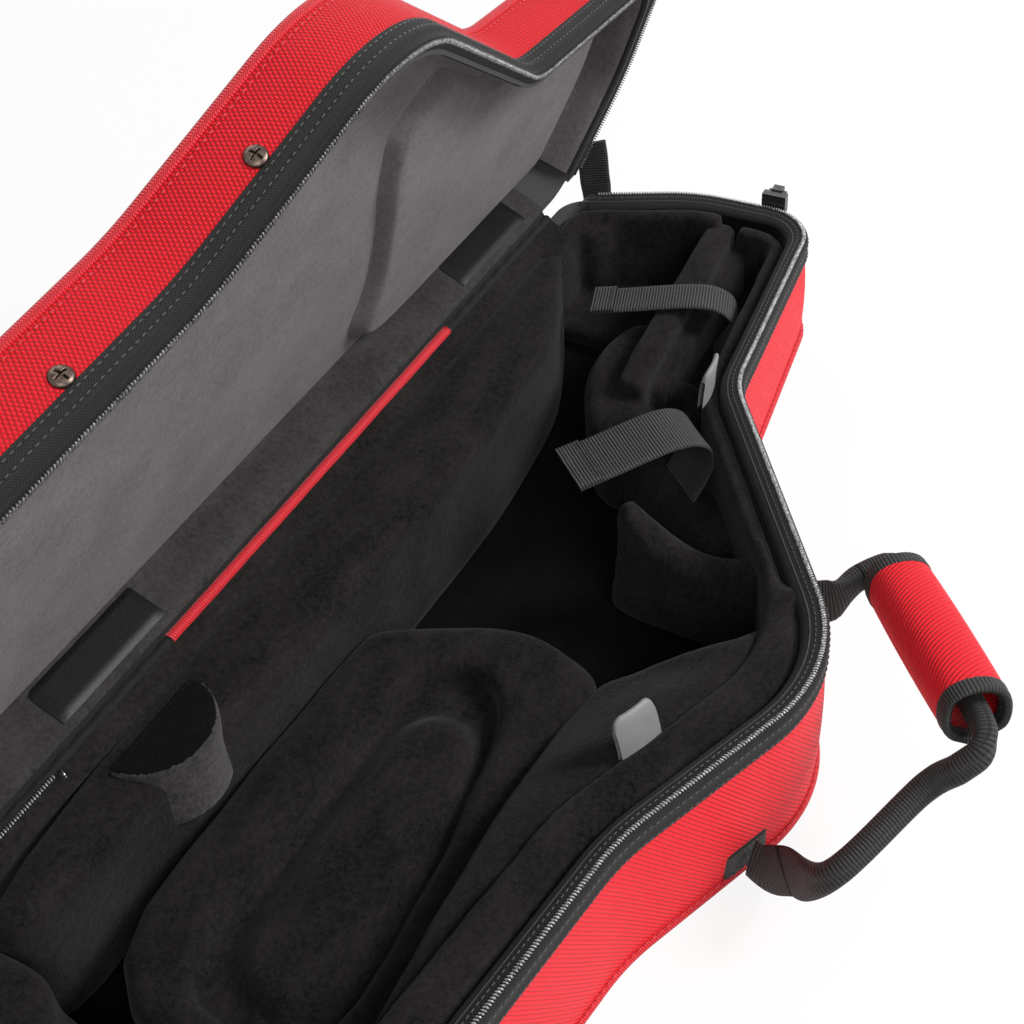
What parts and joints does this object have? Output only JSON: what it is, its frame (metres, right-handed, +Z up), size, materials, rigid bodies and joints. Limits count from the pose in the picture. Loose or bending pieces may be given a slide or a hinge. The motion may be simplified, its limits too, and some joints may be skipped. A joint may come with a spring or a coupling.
{
  "type": "saxophone case",
  "caption": "Contoured zip case with a shallow hinged lid, padded fitted interior, strap loops and a wrapped side handle.",
  "frame": {"origin": "middle of the bottom panel, which the case lies on", "axes": "+X towards the narrow end, +Y towards the hinge side, +Z up"},
  "size_m": [0.6624, 0.3869, 0.3517],
  "materials": {
    "red_cloth": "ballistic nylon weave",
    "red_piping": "woven piping",
    "rim_tape": "black woven tape",
    "webbing": "ribbed webbing",
    "plush": "black plush",
    "lid_plush": "charcoal plush",
    "zip_coil": "nylon coil",
    "hook_patch": "hook and loop",
    "grey_tab": "folded grey tab",
    "shell_board": "stiff foam board",
    "dark_screw": "dark bronze finish",
    "steel": "plain steel",
    "nickel": "nickel plated",
    "slider_metal": "dark painted zinc"
  },
  "bodies": {
    "base": {"base_frame": "shell_board", "base_wall_cover": "red_cloth", "base_bottom_cover": "red_cloth", "base_bottom_piping": "red_piping", "base_rim_tape": "rim_tape", "base_zip": "zip_coil", "base_wall_lining": "plush", "base_floor_lining": "plush", "hinge_piping": "red_piping", "stay_strap_far": "webbing", "stay_strap_bow": "webbing", "hinge_side_bolster": "plush", "far_end_pad": "plush", "neck_rail": "plush", "neck_channel_pad": "plush", "handle_side_pad": "plush", "pointed_block": "plush", "trough_pad": "plush", "bell_ridge": "plush", "body_cradle": "plush", "half_round_plug": "plush", "bow_end_pad": "plush", "waist_tab": "grey_tab", "bell_tab": "grey_tab", "neck_strap_root": "webbing", "mouth_strap_root": "webbing", "handle_anchor_far": "webbing", "handle_anchor_near": "webbing", "ring_patch_far": "webbing", "ring_patch_bow": "webbing", "side_tab": "webbing"},
    "lid": {"lid_frame": "shell_board", "lid_wall_cover": "red_cloth", "lid_top_cover": "red_cloth", "lid_top_piping": "red_piping", "lid_rim_tape": "rim_tape", "lid_zip": "zip_coil", "lid_wall_lining": "lid_plush", "lid_panel_pad": "lid_plush", "lid_neck_pad": "lid_plush", "lid_hinge_flap": "lid_plush", "hook_patch_far": "hook_patch", "hook_patch_bow": "hook_patch", "lid_screw_bow": "dark_screw", "lid_screw_bell": "dark_screw", "screw_plate_bow": "steel", "screw_plate_bell": "steel"},
    "neck_strap": {"neck_strap": "webbing"},
    "mouth_strap": {"mouth_strap": "webbing"},
    "side_handle": {"handle_webbing": "webbing", "handle_grip": "red_cloth", "grip_binding_far": "webbing", "grip_binding_near": "webbing"},
    "far_ring": {"carry_ring_far": "nickel"},
    "bow_ring": {"carry_ring_bow": "nickel"},
    "far_slider": {"zip_slider_far": "slider_metal"},
    "bow_slider": {"zip_slider_bow": "slider_metal"},
    "far_pull": {"zip_pull_far": "slider_metal"},
    "bow_pull": {"zip_pull_bow": "slider_metal"}
  },
  "joints": [
    {"name": "lid_hinge", "type": "hinge", "parent": "base", "child": "lid", "pos_m": [0, 0.128, 0.09], "axis": [-1, 0, 0], "range_deg": [-70, 20], "deforming": ["stay_strap_far", "stay_strap_bow"]},
    {"name": "neck_strap_lift", "type": "hinge", "parent": "base", "child": "neck_strap", "pos_m": [0.23763, 0.00827, 0.077], "axis": [0.9455, 0.3256, 0], "range_deg": [0, 100]},
    {"name": "mouth_strap_lift", "type": "hinge", "parent": "base", "child": "mouth_strap", "pos_m": [0.13183, -0.01821, 0.08], "axis": [0.6428, 0.766, 0], "range_deg": [0, 100]},
    {"name": "handle_swing", "type": "hinge", "parent": "base", "child": "side_handle", "pos_m": [0.06, -0.11283, 0.066], "axis": [-0.8861, -0.1249, -0.4464], "range_deg": [-20, 25]},
    {"name": "far_ring_swing", "type": "hinge", "parent": "base", "child": "far_ring", "pos_m": [0.32301, 0.02214, 0.06], "axis": [0.0416, -0.9991, 0], "range_deg": [0, 95]},
    {"name": "bow_ring_swing", "type": "hinge", "parent": "base", "child": "bow_ring", "pos_m": [-0.32335, 0.03, 0.06], "axis": [0, 1, 0], "range_deg": [0, 95]},
    {"name": "far_slider_run", "type": "slide", "parent": "base", "child": "far_slider", "axis": [-0.0416, 0.9991, 0], "range_m": [0, 0.026]},
    {"name": "far_pull_swing", "type": "hinge", "parent": "far_slider", "child": "far_pull", "pos_m": [0.32841, 0.01635, 0.0937], "axis": [0.0416, -0.9991, 0], "range_deg": [0, 110]},
    {"name": "bow_slider_run", "type": "slide", "parent": "base", "child": "bow_slider", "axis": [0, -1, 0], "range_m": [0, 0.05]},
    {"name": "bow_pull_swing", "type": "hinge", "parent": "bow_slider", "child": "bow_pull", "pos_m": [-0.3285, 0.056, 0.0937], "axis": [0, 1, 0], "range_deg": [0, 110]}
  ]
}
